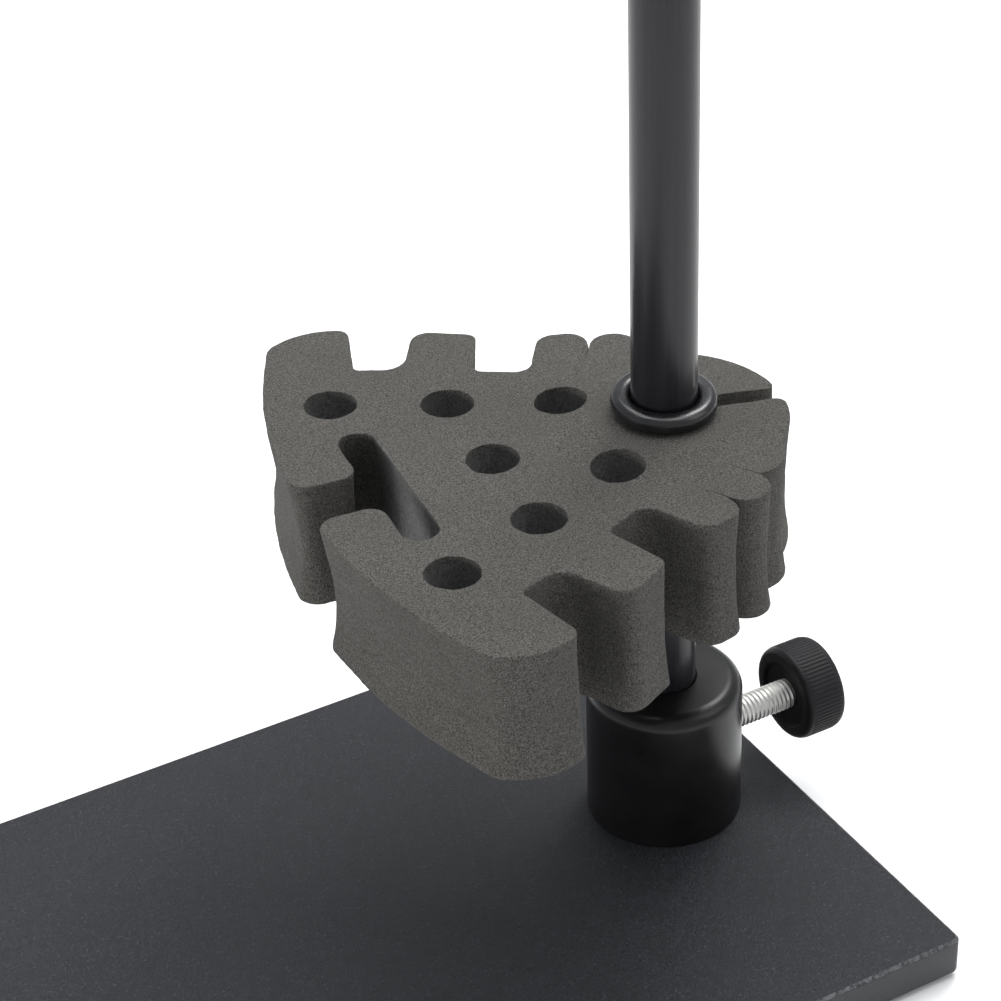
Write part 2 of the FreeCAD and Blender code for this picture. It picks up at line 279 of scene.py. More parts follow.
def walled_block(name, loops, smooth_angle=SMOOTH_ANGLE):
    """A closed block from loops of rings: each loop is its rings from bottom to top, in metres."""
    work = bmesh.new()
    floor_edges, roof_edges = [], []
    for rings in loops:
        made = [[work.verts.new(point) for point in ring] for ring in rings]
        join_rings(work, made)
        count = len(made[0])
        for ring, edges in ((made[0], floor_edges), (made[-1], roof_edges)):
            edges += [work.edges.get((ring[i], ring[(i + 1) % count])) for i in range(count)]
    for edges in (floor_edges, roof_edges):
        bmesh.ops.triangle_fill(work, use_beauty=True, use_dissolve=False, edges=edges)
    return finished(name, work, smooth_angle)


# Node groups, and the grain and flecks that several finishes share

GRAIN_DETAIL = 3.0
# The share of a fleck pattern's spots that stay empty
EMPTY_SPOTS = 0.55


def new_group(name, kind, inputs, output, output_kind):
    """A node group with its named sockets, and its input and output nodes."""
    group = bpy.data.node_groups.new(name, kind)
    for socket, socket_kind, value in inputs:
        made = group.interface.new_socket(socket, in_out="INPUT", socket_type=socket_kind)
        if value is not None:
            made.default_value = value
    group.interface.new_socket(output, in_out="OUTPUT", socket_type=output_kind)
    return group, group.nodes.new("NodeGroupInput"), group.nodes.new("NodeGroupOutput")


def add_node(tree, kind, sockets=None, **settings):
    """A node with its settings, and its sockets set to values or linked."""
    node = tree.nodes.new(kind)
    for key, value in settings.items():
        setattr(node, key, value)
    for key, value in (sockets or {}).items():
        if isinstance(value, bpy.types.NodeSocket):
            tree.links.new(value, node.inputs[key])
        else:
            node.inputs[key].default_value = value
    return node


def place_in_mm(group):
    """The place on the piece, in millimetres."""
    place = add_node(group, "ShaderNodeTexCoord").outputs["Object"]
    return add_node(group, "ShaderNodeVectorMath", {0: place, 3: 1 / MM}, operation="SCALE").outputs[0]


def make_grain_group():
    """Fine closed grain, as on foam, rubber and textured paint.

    Sizes are in millimetres, and a smaller spread gives more contrast.
    """
    group, start, end = new_group("fine_grain", "ShaderNodeTree", [
        ("Grain Size", "NodeSocketFloat", 0.4), ("Softness", "NodeSocketFloat", 0.5),
        ("Spread", "NodeSocketFloat", 0.2), ("Stretch", "NodeSocketVector", (1, 1, 1)),
    ], "Mask", "NodeSocketFloat")
    drawn = add_node(group, "ShaderNodeVectorMath", {0: place_in_mm(group), 1: start.outputs["Stretch"]},
                     operation="DIVIDE")
    scale = add_node(group, "ShaderNodeMath", {0: 1.0, 1: start.outputs["Grain Size"]}, operation="DIVIDE")
    cells = add_node(group, "ShaderNodeTexNoise", {
        "Vector": drawn.outputs[0], "Scale": scale.outputs[0],
        "Detail": GRAIN_DETAIL, "Roughness": start.outputs["Softness"]})
    low = add_node(group, "ShaderNodeMath", {0: 0.5, 1: start.outputs["Spread"]}, operation="SUBTRACT")
    high = add_node(group, "ShaderNodeMath", {0: 0.5, 1: start.outputs["Spread"]}, operation="ADD")
    mask = add_node(group, "ShaderNodeMapRange", {
        0: cells.outputs["Fac"], 1: low.outputs[0], 2: high.outputs[0]})
    group.links.new(mask.outputs[0], end.inputs["Mask"])
    return group


def make_fleck_group():
    """Scattered small spots, for powder coat, dust and foam skin. Sizes are in millimetres."""
    group, start, end = new_group("flecks", "ShaderNodeTree", [
        ("Spacing", "NodeSocketFloat", 1.0), ("Spot Size", "NodeSocketFloat", 0.2),
    ], "Mask", "NodeSocketFloat")
    scale = add_node(group, "ShaderNodeMath", {0: 1.0, 1: start.outputs["Spacing"]}, operation="DIVIDE")
    spots = add_node(group, "ShaderNodeTexVoronoi", {
        "Vector": place_in_mm(group), "Scale": scale.outputs[0]})
    edge = add_node(group, "ShaderNodeMapRange", {
        0: spots.outputs["Distance"], 1: start.outputs["Spot Size"], 2: 0.0, 3: 0.0, 4: 1.0},
        interpolation_type="SMOOTHSTEP")
    chosen = add_node(group, "ShaderNodeSeparateColor", {0: spots.outputs["Color"]})
    some = add_node(group, "ShaderNodeMath", {0: chosen.outputs[0], 1: EMPTY_SPOTS},
                    operation="GREATER_THAN")
    mask = add_node(group, "ShaderNodeMath", {0: edge.outputs[0], 1: some.outputs[0]}, operation="MULTIPLY")
    group.links.new(mask.outputs[0], end.inputs["Mask"])
    return group


GRAIN = make_grain_group()
FLECKS = make_fleck_group()
# Sockets of the colour Mix node
MIX_UNDER, MIX_OVER, MIX_RESULT = 6, 7, 2


class Finish:
    """One material, built up from masks and heights around a Principled shader."""

    def __init__(self, name, **constants):
        self.material = bpy.data.materials.new(name)
        self.material.use_nodes = True
        self.tree = self.material.node_tree
        self.shader = self.tree.nodes["Principled BSDF"]
        for socket, value in constants.items():
            self.shader.inputs[socket.replace("_", " ")].default_value = value
        self.height = None

    def attribute(self, name):
        """A mesh attribute, as a mask."""
        return add_node(self.tree, "ShaderNodeAttribute", attribute_name=name).outputs["Fac"]

    def mask(self, group, **values):
        """A group's Mask output with its inputs set."""
        node = add_node(self.tree, "ShaderNodeGroup", node_tree=group)
        for socket, value in values.items():
            node.inputs[socket.replace("_", " ")].default_value = value
        return node.outputs["Mask"]

    def product(self, first, second):
        """Where two masks meet."""
        return add_node(self.tree, "ShaderNodeMath", {0: first, 1: second}, operation="MULTIPLY").outputs[0]

    def ranged(self, mask, low, high):
        """A mask as a value between low and high."""
        return add_node(self.tree, "ShaderNodeMapRange", {0: mask, 3: low, 4: high}).outputs[0]

    def colour(self, first, *layers):
        """Base colour from a first colour and then (mask, colour, strength) layers over it."""
        base = (*first, 1)
        for mask, colour, strength in layers:
            share = self.ranged(mask, 0.0, strength)
            sockets = {0: share, MIX_UNDER: base, MIX_OVER: (*colour, 1)}
            base = add_node(self.tree, "ShaderNodeMix", sockets, data_type="RGBA").outputs[MIX_RESULT]
        self.tree.links.new(base, self.shader.inputs["Base Color"])

    def roughness(self, mask, low, high):
        self.tree.links.new(self.ranged(mask, low, high), self.shader.inputs["Roughness"])

    def relief(self, mask, depth, strength=1.0):
        """Add a bump layer: depth is in metres."""
        sockets = {"Height": mask, "Distance": depth, "Strength": strength}
        bump = add_node(self.tree, "ShaderNodeBump", sockets)
        if self.height is not None:
            self.tree.links.new(self.height, bump.inputs["Normal"])
        self.height = bump.outputs[0]
        self.tree.links.new(self.height, self.shader.inputs["Normal"])


def make_powder_coat():
    """Fine-textured black powder coat with tiny glinting flecks, painted paler on the sides, with a painted
    highlight along the bevel and painted shade at its foot.
    """
    finish = Finish("powder_coat", Specular_IOR_Level=0.36)
    grain = finish.mask(GRAIN, Grain_Size=0.32, Softness=0.8, Spread=0.13)
    blots = finish.mask(GRAIN, Grain_Size=1.3, Softness=0.5)
    patches = finish.mask(GRAIN, Grain_Size=9.0, Softness=0.5)
    flecks = finish.mask(FLECKS, Spacing=0.75, Spot_Size=0.34)
    rough = finish.mask(GRAIN, Grain_Size=0.8, Softness=0.8, Spread=0.12)
    # The bevel's mark, broken up by a grain, carries a painted highlight.
    bevel = finish.product(finish.attribute("bevel"), rough)
    finish.colour((0.001, 0.0012, 0.0022), (grain, (0.033, 0.0345, 0.042), 0.88),
                  (blots, (0.020, 0.0208, 0.025), 0.3), (patches, (0.013, 0.0134, 0.016), 0.3),
                  (flecks, (0.095, 0.099, 0.114), 0.5),
                  # The sides are painted paler: painted light, where the lamps light them more than the
                  # top.
                  (finish.attribute("side"), (0.10, 0.101, 0.105), 0.3),
                  # A painted highlight along the bevel.
                  (bevel, (0.17, 0.172, 0.18), 0.7),
                  # Painted shade at the foot of the bevel, where it turns from the side.
                  (finish.attribute("painted_bevel_foot_shade"), (0.002, 0.002, 0.002), 0.9))
    finish.roughness(grain, 0.36, 0.52)
    finish.relief(grain, 0.11 * MM, 0.7)
    return finish.material


def make_satin_paint():
    """Smooth satin black paint on the hub."""
    finish = Finish("black_paint", Specular_IOR_Level=0.34)
    peel = finish.mask(GRAIN, Grain_Size=1.3, Softness=0.3)
    haze = finish.mask(GRAIN, Grain_Size=6.0, Softness=0.55)
    dust = finish.mask(FLECKS, Spacing=1.9, Spot_Size=0.07)
    finish.colour((0.0034, 0.0034, 0.0038), (haze, (0.0062, 0.0062, 0.0068), 0.6),
                  (dust, (0.10, 0.10, 0.095), 0.35))
    finish.roughness(haze, 0.27, 0.35)
    finish.relief(peel, 0.006 * MM, 0.5)
    return finish.material


def make_gloss_black():
    """Glossy black coat on the drawn post, with faint lengthwise streaks: ripples in its bump and
    roughness, and paler streaks in its colour that are painted reflection.
    """
    finish = Finish("gloss_black", Specular_IOR_Level=0.4)
    streaks = finish.mask(GRAIN, Grain_Size=0.6, Softness=0.6, Stretch=(1, 1, 70))
    bands = finish.mask(GRAIN, Grain_Size=2.2, Softness=0.5, Stretch=(1, 1, 40))
    haze = finish.mask(GRAIN, Grain_Size=5.0, Softness=0.6, Stretch=(1, 1, 4))
    dust = finish.mask(FLECKS, Spacing=2.3, Spot_Size=0.06)
    # The paler streaks and bands in the colour are painted reflection, the streaks of light along the rod.
    finish.colour((0.003, 0.003, 0.004), (haze, (0.010, 0.010, 0.012), 0.5),
                  (streaks, (0.016, 0.016, 0.019), 0.55), (bands, (0.014, 0.014, 0.017), 0.5),
                  (dust, (0.10, 0.10, 0.10), 0.3))
    finish.roughness(bands, 0.2, 0.36)
    finish.relief(streaks, 0.012 * MM, 0.4)
    return finish.material


def make_ring_rubber():
    """Moulded black rubber with a slight bloom."""
    finish = Finish("ring_rubber", Specular_IOR_Level=0.5)
    bloom = finish.mask(GRAIN, Grain_Size=2.4, Softness=0.6)
    fine = finish.mask(GRAIN, Grain_Size=0.25, Softness=0.5)
    dust = finish.mask(FLECKS, Spacing=1.1, Spot_Size=0.08)
    finish.colour((0.005, 0.005, 0.006), (bloom, (0.012, 0.012, 0.013), 0.6),
                  (dust, (0.12, 0.12, 0.115), 0.35))
    finish.roughness(bloom, 0.2, 0.32)
    finish.relief(fine, 0.004 * MM, 0.4)
    return finish.material


def make_foam():
    """Dense dark grey foam with a sandy closed-cell grain.

    It is faintly banded where it was cut, and paler and fuzzier inside its bored holes and slot: partly the
    bored wall's own tone, and more with depth as painted light over the shade inside.
    """
    finish = Finish("foam", Specular_IOR_Level=0.22)
    cells = finish.mask(GRAIN, Grain_Size=0.25, Softness=0.85, Spread=0.12)
    coarse = finish.mask(GRAIN, Grain_Size=0.7, Softness=0.55)
    cloud = finish.mask(GRAIN, Grain_Size=14.0, Softness=0.5)
    bands = finish.mask(GRAIN, Grain_Size=0.8, Softness=0.5, Stretch=(9, 9, 0.6))
    pores = finish.mask(FLECKS, Spacing=0.5, Spot_Size=0.3)
    fuzz = finish.mask(GRAIN, Grain_Size=0.5, Softness=0.7, Spread=0.14)
    streaks = finish.product(finish.attribute("cut_wall"), bands)
    # Paler inside the holes and slot, more with depth: partly the bored wall's own tone, partly painted
    # light.
    bored = finish.attribute("bored")
    fuzzy = finish.product(bored, fuzz)
    finish.colour((0.010, 0.0096, 0.0088), (cells, (0.166, 0.1595, 0.1465), 0.95),
                  (coarse, (0.070, 0.067, 0.061), 0.2), (cloud, (0.056, 0.0535, 0.049), 0.25),
                  (pores, (0.012, 0.0117, 0.011), 0.4), (streaks, (0.02, 0.0198, 0.018), 0.25),
                  (bored, (0.14, 0.14, 0.143), 1.0), (fuzzy, (0.26, 0.26, 0.267), 1.0))
    finish.roughness(cells, 0.8, 0.95)
    finish.relief(cells, 0.12 * MM, 0.6)
    finish.relief(coarse, 0.12 * MM, 0.25)
    return finish.material


def make_knob_plastic():
    """Satin black moulded plastic."""
    finish = Finish("knob_plastic", Specular_IOR_Level=0.15)
    fine = finish.mask(GRAIN, Grain_Size=0.16, Softness=0.5)
    haze = finish.mask(GRAIN, Grain_Size=3.0, Softness=0.55)
    finish.colour((0.010, 0.010, 0.011), (haze, (0.021, 0.021, 0.0225), 0.6))
    finish.roughness(haze, 0.42, 0.55)
    finish.relief(fine, 0.01 * MM, 0.4)
    return finish.material


def make_zinc_steel():
    """Bright zinc-plated thread."""
    finish = Finish("zinc_steel", Metallic=1.0)
    fine = finish.mask(GRAIN, Grain_Size=0.2, Softness=0.5)
    haze = finish.mask(GRAIN, Grain_Size=1.6, Softness=0.6)
    finish.colour((0.60, 0.595, 0.57), (haze, (0.78, 0.775, 0.745), 0.7))
    finish.roughness(haze, 0.38, 0.52)
    finish.relief(fine, 0.006 * MM, 0.4)
    return finish.material


def make_screw_steel():
    """Blackened steel of the screws under the hub."""
    finish = Finish("screw_steel", Metallic=1.0)
    haze = finish.mask(GRAIN, Grain_Size=0.9, Softness=0.6)
    finish.colour((0.05, 0.05, 0.052), (haze, (0.10, 0.10, 0.105), 0.7))
    finish.roughness(haze, 0.3, 0.5)
    finish.relief(haze, 0.01 * MM, 0.4)
    return finish.material


def make_pad_rubber():
    """Matt rubber sheet under the plate."""
    finish = Finish("pad_rubber", Specular_IOR_Level=0.4)
    fine = finish.mask(GRAIN, Grain_Size=0.5, Softness=0.6)
    cloud = finish.mask(GRAIN, Grain_Size=8.0, Softness=0.5)
    finish.colour((0.012, 0.012, 0.012), (fine, (0.026, 0.026, 0.026), 0.6),
                  (cloud, (0.03, 0.03, 0.029), 0.4))
    finish.roughness(fine, 0.6, 0.8)
    finish.relief(fine, 0.05 * MM, 0.5)
    return finish.material


POWDER_COAT = make_powder_coat()
SATIN_PAINT = make_satin_paint()
GLOSS_BLACK = make_gloss_black()
RING_RUBBER = make_ring_rubber()
FOAM = make_foam()
KNOB_PLASTIC = make_knob_plastic()
ZINC_STEEL = make_zinc_steel()
SCREW_STEEL = make_screw_steel()
PAD_RUBBER = make_pad_rubber()


def dress(piece, material):
    """Give a piece one finish."""
    piece.data.materials.clear()
    piece.data.materials.append(material)


# Base plate

PLATE_CORNER = 1.5 * MM
PLATE_CORNER_STEPS = 8
PLATE_BEVEL = 0.5 * MM
PLATE_FOOT_REACH, PLATE_FOOT_ROUND = 0.6 * MM, 0.3 * MM
COAT_ROUND = 0.2 * MM
# How far up the normals point of the plate's sides, of the turn into its bevel, and of its bevel, at most
SIDE_RISE, BEVEL_FOOT_RISE, BEVEL_RISE = 0.2, 0.6, 0.99
# The countersunk holes under the hub: their circle, their turns in degrees, and their sizes
SCREW_CIRCLE = abs(SCREW_LOW.x + (SCREW_HIGH.x - SCREW_LOW.x) / 2)
SCREW_TURNS = (180, 300, 420)
HEAD_HOLE_RADIUS, SHANK_HOLE_RADIUS, COUNTERSINK_DEPTH = 4.2 * MM, 2.2 * MM, 2.2 * MM


def rounded_rectangle(inset):
    """Corner arcs of the plate's outline, drawn in by an inset, anticlockwise."""
    low = Vector((PLATE_LOW.x, PLATE_LOW.y))
    high = Vector((PLATE_HIGH.x, PLATE_HIGH.y))
    points = []
    for quarter, (x, y) in enumerate(((high.x, high.y), (low.x, high.y), (low.x, low.y), (high.x, low.y))):
        inward = Vector((-1 if x == high.x else 1, -1 if y == high.y else 1))
        centre = Vector((x, y)) + inward * PLATE_CORNER
        for i in range(PLATE_CORNER_STEPS + 1):
            turn = math.pi / 2 * (quarter + i / PLATE_CORNER_STEPS)
            points.append(centre + (PLATE_CORNER - inset) * Vector((math.cos(turn), math.sin(turn))))
    return points


def make_base_plate():
    """The plate's edge has a bevel whose two corners the coat has softened."""
    low, top = PLATE_LOW.z, PLATE_TOP
    foot = (PLATE_FOOT_REACH, low)
    section = [foot] + rounded((0, low), foot, (0, top), PLATE_FOOT_ROUND, 4)
    section += rounded((0, top - PLATE_BEVEL), (0, low), (PLATE_BEVEL, top), COAT_ROUND, 3)
    section += rounded((PLATE_BEVEL, top), (0, top - PLATE_BEVEL), (2 * PLATE_BEVEL, top), COAT_ROUND, 3)
    section += [(1.9 * PLATE_BEVEL, top)]
    outer = [[(*point, height) for point in rounded_rectangle(inset)] for inset, height in section]
    piece = walled_block("base_plate_coated", [outer])
    # Marks the plate's sides, which the coat paints paler: painted light.
    mark_faces(piece, "side", lambda face, place: float(abs(face.normal.z) < SIDE_RISE))
    # Marks the turn from the side into the bevel, painted dark: painted shade.
    mark_faces(piece, "painted_bevel_foot_shade", lambda face, place: float(SIDE_RISE <= face.normal.z < BEVEL_FOOT_RISE))
    # Marks the bevel, which the coat paints with a highlight: painted highlight.
    mark_faces(piece, "bevel", lambda face, place: float(BEVEL_FOOT_RISE <= face.normal.z < BEVEL_RISE))
    below, above = low - MM, top + MM
    profile = [(0, below), (HEAD_HOLE_RADIUS, below), (HEAD_HOLE_RADIUS, low),
               (SHANK_HOLE_RADIUS, low + COUNTERSINK_DEPTH), (SHANK_HOLE_RADIUS, above), (0, above)]
    for turn in SCREW_TURNS:
        centre = SCREW_CIRCLE * Vector((math.cos(math.radians(turn)), math.sin(math.radians(turn))))
        drill = turned("drill", profile, 48)
        drill.data.transform(Matrix.Translation((centre.x, centre.y, 0)))
        cut_by(piece, drill)
    dress(piece, POWDER_COAT)
    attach(piece, "base")
    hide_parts("base_plate")


# Hub

HUB_SIDES = 192
HUB_SHOULDER, HUB_ROUND_STEPS = 2.5 * MM, 10
HUB_FOOT_ROUND = 0.35 * MM
HUB_BORE_ROUND = 0.3 * MM
# The widened mouth of the tapped hole, and how far its cutter goes past the hub
TAP_MOUTH_DEPTH, TAP_MOUTH_WIDENING, TAP_PAST = 0.5 * MM, 0.6 * MM, 0.1 * MM


def make_hub():
    """A turned hub with a rounded shoulder and the tapped hole for the clamp screw."""
    bore = POST_RADIUS + RUNNING_GAP
    top, foot = HUB_HIGH.z, HUB_LOW.z
    corners = [(bore, foot, 0), (HUB_RADIUS, foot, HUB_FOOT_ROUND), (HUB_RADIUS, top, HUB_SHOULDER),
               (bore, top, HUB_BORE_ROUND)]
    piece = turned("hub_painted", rounded_profile(corners, HUB_ROUND_STEPS), HUB_SIDES)
    hole = STUD_RADIUS + RUNNING_GAP
    past = HUB_RADIUS + TAP_PAST
    tap = [(0, 0), (hole, 0), (hole, HUB_RADIUS - TAP_MOUTH_DEPTH), (hole + TAP_MOUTH_WIDENING, past),
           (0, past)]
    cut_by(piece, along_x(turned("tap", tap, 64), CLAMP_HEIGHT))
    dress(piece, SATIN_PAINT)
    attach(piece, "base")
    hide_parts("hub")


# Post and rings

POST_SIDES = 128
POST_BEVEL = 0.8 * MM
POST_END_ROUND, POST_SIDE_ROUND = 0.2 * MM, 0.4 * MM


def make_post():
    """A plain rod, with both ends bevelled and the bevels' corners softened."""
    low, top, radius = POST_LOW.z, POST_HIGH.z, POST_RADIUS
    corners = [(0, low, 0), (radius - POST_BEVEL, low, POST_END_ROUND),
               (radius, low + POST_BEVEL, POST_SIDE_ROUND), (radius, top - POST_BEVEL, POST_SIDE_ROUND),
               (radius - POST_BEVEL, top, POST_END_ROUND), (0, top, 0)]
    piece = turned("post_rod", rounded_profile(corners), POST_SIDES)
    dress(piece, GLOSS_BLACK)
    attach(piece, "post")
    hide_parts("post")


RING_SIDES, RING_STEPS = 128, 40
FLASH_HEIGHT = 0.03 * MM
RING_SQUARENESS = 0.85
UPPER_RING_SLANT = 0.04


def make_ring(node, slant=0.0):
    """A moulded ring, pressed a little square, with the faint parting line of its mould round the outside.

    Its slant is its rise per unit along +Y, where it has been pushed down crookedly.
    """
    low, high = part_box(node)
    section = (high.z - low.z) / 2
    middle = (high.z + low.z) / 2
    reach = high.x - section
    profile = []
    for i in range(RING_STEPS):
        turn = 2 * math.pi * i / RING_STEPS
        flash = FLASH_HEIGHT if i == 0 else 0
        out = math.copysign(abs(math.cos(turn)) ** RING_SQUARENESS, math.cos(turn))
        up = math.copysign(abs(math.sin(turn)) ** RING_SQUARENESS, math.sin(turn))
        profile.append((reach + (section + flash) * out, middle + section * up))
    piece = turned(f"{node}_moulded", profile, RING_SIDES)
    for vertex in piece.data.vertices:
        vertex.co.z += slant * vertex.co.y
    dress(piece, RING_RUBBER)
    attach(piece, node)
    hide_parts(node)


# Foam caddy: drawn in its own frame, in millimetres, with its fan towards -X

FOAM_TURN = math.radians(-6.8)
FOAM_TOP = (FOAM_HIGH.z - FOAM_LOW.z) / MM
# Bored holes: each side hole has a twin across the fan's middle line
SIDE_HOLES = [(-12.4, 10.3), (-28.0, 17.35), (-44.1, 24.7)]
CENTRE_HOLE = -27.9
HOLE_RADIUS, HOLE_STEPS = 4.05, 72
HOLE_BOW, HOLE_RAGGEDNESS = 0.22, 2.1
SLOT_NEAR, SLOT_FAR, SLOT_END = -41.5, -47.1, 15.45
ENTRY_SIDE, FAN_END = 4.35, -57.6
# The slit into the post's hole: its two walls by their distance from its line
SLIT_SIDE, SLIT_NEAR_SIDE = 1.2, 1.75
SLIT_TURN = math.radians(-5)
SLIT_MOUTH_ROUND, SLIT_MOUTH_STEPS = 1.6, 5
SLIT_BOW, SLIT_RAGGEDNESS = 0.12, 2.4
SLIT_STEP = 0.5
POST_HOLE, POST_HOLE_STEPS = 5.05, 64
# Kerfs are thin cuts from a mouth to a root, with half their width at each, and the wall's bow is
# taken up again beyond the first distance and within the second
KERFS = {(-1.6, 23.7): (-4.6, 19.2), (5.4, 20.4): (0.8, 14.9)}
KERF_MOUTH, KERF_ROOT = 0.07, 0.015
KERF_CLEAR, KERF_FADE = 0.15, 2.0
# One half of the outer edge from the slot round to the slit: across, along, and a corner's rounding
HALF_OUTLINE = [
    (SLOT_NEAR, 0, 0), (SLOT_NEAR, SLOT_END, 2.79), (SLOT_FAR, SLOT_END, 2.79), (SLOT_FAR, ENTRY_SIDE, 2.8),
    (FAN_END, ENTRY_SIDE, 3.2),
    (-55.4, 26.0, 95.0), (-47.4, 45.1, 4.0), (-41.0, 47.7, 10.0), (-33.7, 45.4, 2.2), (-37.4, 33.0, 1.0),
    (-30.3, 29.9, 3.8),
    (-24.7, 40.3, 3.0), (-16.1, 35.0, 1.8), (-20.5, 24.6, 1.3), (-13.1, 20.6, 2.8),
    (-7.6, 30.2, 3.2), (-0.3, 28.4, 3.2), (-1.6, 23.7, 0), (2.3, 26.15, "crest"), (5.4, 20.4, 0),
    (10.3, 18.9, "crest"), (12.3, 14.1, 0), (18.75, 8.5, 18.3), (18.75, 0, 0),
]
# The cut wall by its share of the height, from the underside up: how far it stands out from its
# top edge, and how far the soft foam's droop has carried it towards the post, in millimetres.
# The droop starts off the post, grows over a reach, and leans to one side.
WALL_BOW = [(0.0, 0.08), (0.05, -0.05), (0.12, -0.3), (0.22, -0.55), (0.36, -0.74), (0.5, -0.78),
            (0.66, -0.62), (0.82, -0.34), (0.93, -0.12), (1.0, 0.0)]
WALL_DROOP = [(0.0, 0.8), (0.25, 1.1), (0.5, 1.0), (0.75, 0.5), (1.0, 0.0)]
DROOP_START, DROOP_REACH = 7, 38
DROOP_MIDDLE, DROOP_LEAN, DROOP_SIDE = 0.65, 0.35, 35
RIM_ROUND, RIM_DRAFT = 0.22, 0.02
# Ripples of the cut: height, width along the wall and width up it
RIPPLES = [(0.1, 4, 6), (0.07, 0.9, 1.6)]
# The top's rise at the post, and how far from the axis it starts to fall and ends. The ring's
# lowest side stays just clear of it when the caddy swivels.
CROWN = 0.84 * MM
CROWN_REACH = (9 * MM, 22 * MM)
CROWN_CUTS = 4
# Faces whose normals rise more than this are level
LEVEL_RISE = 0.9
# Bored walls, paler partly by their own cut surface and more with depth as painted light over the shade
# inside:
# the depth over which they turn pale, how pale they get, how far past the wall of a hole or of the slot the
# mark reaches, and how it fades at the slot's ends
PAINTED_LIGHT_DEPTH = 7 * MM
HOLE_PALENESS, SLOT_PALENESS, SLOT_DEEP_PALENESS = 0.95, 0.15, 0.35
HOLE_REACH, SLOT_INNER_REACH, SLOT_OUTER_REACH, SLOT_END_REACH = 1.6, 2.8, 1.8, 1
SLOT_END_FADE = 5


def between(table, share):
    """A value read off a table of (share, value) pairs."""
    for (low, first), (high, last) in zip(table, table[1:]):
        if share <= high:
            return first + (last - first) * (share - low) / (high - low)
    return table[-1][1]


def wall_section():
    """Heights and outward offsets of the wall, with slightly rounded rims, in millimetres."""
    foot = WALL_BOW[0][1]
    section = [(0.0, foot - RIM_ROUND), (RIM_ROUND / 3, foot - RIM_ROUND / 3), (RIM_ROUND, foot)]
    section += [(share * FOAM_TOP, out) for share, out in WALL_BOW[1:-1]]
    section += [(FOAM_TOP - RIM_ROUND, -RIM_DRAFT), (FOAM_TOP - RIM_ROUND / 3, -RIM_ROUND / 3),
                (FOAM_TOP, -RIM_ROUND)]
    return section


def caddy_rim():
    """The outer edge as a closed loop, with no slit in it yet."""
    corners = []
    for across, along, kind in HALF_OUTLINE:
        root = KERFS.get((across, along))
        if root is None:
            corners.append((across, along, kind))
            continue
        mouth, inner = Vector((across, along)), Vector(root)
        side = (inner - mouth).orthogonal().normalized()
        if side.x > 0:
            side = -side
        for point, reach in ((mouth, KERF_MOUTH), (inner, KERF_ROOT), (inner, -KERF_ROOT),
                             (mouth, -KERF_MOUTH)):
            corners.append((*(point + side * reach), 0))
    half = drawn_path(corners)
    return half + [Vector((point.x, -point.y)) for point in reversed(half[1:-1])]


def eased(start, corner, end):
    """Points of a soft turn from a start to an end, pulled towards a corner."""
    turns = [i / (SLIT_MOUTH_STEPS + 1) for i in range(1, SLIT_MOUTH_STEPS + 1)]
    return [start.lerp(corner, t).lerp(corner.lerp(end, t), t) for t in turns]


def caddy_outline():
    """The outer loop, through the slit and round the post's hole.

    Each point comes with its share of the wall's bow, and of its raggedness.
    """
    rim = caddy_rim()
    back = Matrix.Rotation(-SLIT_TURN, 2)
    seen = [back @ point for point in rim]
    inside = []
    for point in seen:
        across = point.y - SLIT_SIDE if point.y > 0 else -SLIT_NEAR_SIDE - point.y
        inside.append(point.x > 0 and across < SLIT_MOUTH_ROUND)
    first = next(i for i, held in enumerate(inside) if held and not inside[i - 1])
    last = next(i for i, held in enumerate(inside) if held and not inside[(i + 1) % len(inside)])
    kept = [(point, 1.0, 1.0) for point in rim[last + 1:] + rim[:first]]
    ahead = Matrix.Rotation(SLIT_TURN, 2)
    reach = max(seen[first].x, seen[last].x)
    start = reach - SLIT_MOUTH_ROUND
    sides = []
    for bound, before in ((SLIT_SIDE, seen[first - 1]), (-SLIT_NEAR_SIDE, seen[(last + 1) % len(seen)])):
        inner = Vector((math.sqrt(POST_HOLE ** 2 - bound ** 2), bound))
        outer = Vector((start, bound))
        sides.append(eased(before, Vector((reach, bound)), outer) + line_points(outer, inner, SLIT_STEP))
    side, near_side = sides
    opening, closing = math.asin(SLIT_SIDE / POST_HOLE), 2 * math.pi - math.asin(SLIT_NEAR_SIDE / POST_HOLE)
    sweep = closing - opening
    turns = [opening + sweep * i / POST_HOLE_STEPS for i in range(POST_HOLE_STEPS + 1)]
    hole = [POST_HOLE * Vector((math.cos(a), math.sin(a))) for a in turns]
    kept += [(ahead @ point, SLIT_BOW, SLIT_RAGGEDNESS) for point in side]
    kept += [(ahead @ point, 0.0, 0.0) for point in hole]
    kept += [(ahead @ point, SLIT_BOW, SLIT_RAGGEDNESS) for point in reversed(near_side)]
    return kept


def kerf_share(point):
    """How much of the bow is kept near a kerf: none inside it, all of it some way off."""
    gaps = []
    for mouth, root in KERFS.items():
        for side in (1, -1):
            start, end = Vector((mouth[0], side * mouth[1])), Vector((root[0], side * root[1]))
            along = end - start
            share = held((point - start).dot(along) / along.length_squared)
            gaps.append((point - start - along * share).length)
    return held((min(gaps) - KERF_CLEAR) / KERF_FADE)


def caddy_point(flat, height):
    """A point of the caddy's own frame, placed on the stand, in metres."""
    turn = Matrix.Rotation(FOAM_TURN, 2)
    across, along = turn @ flat
    return (across * MM, along * MM, FOAM_LOW.z + height * MM)


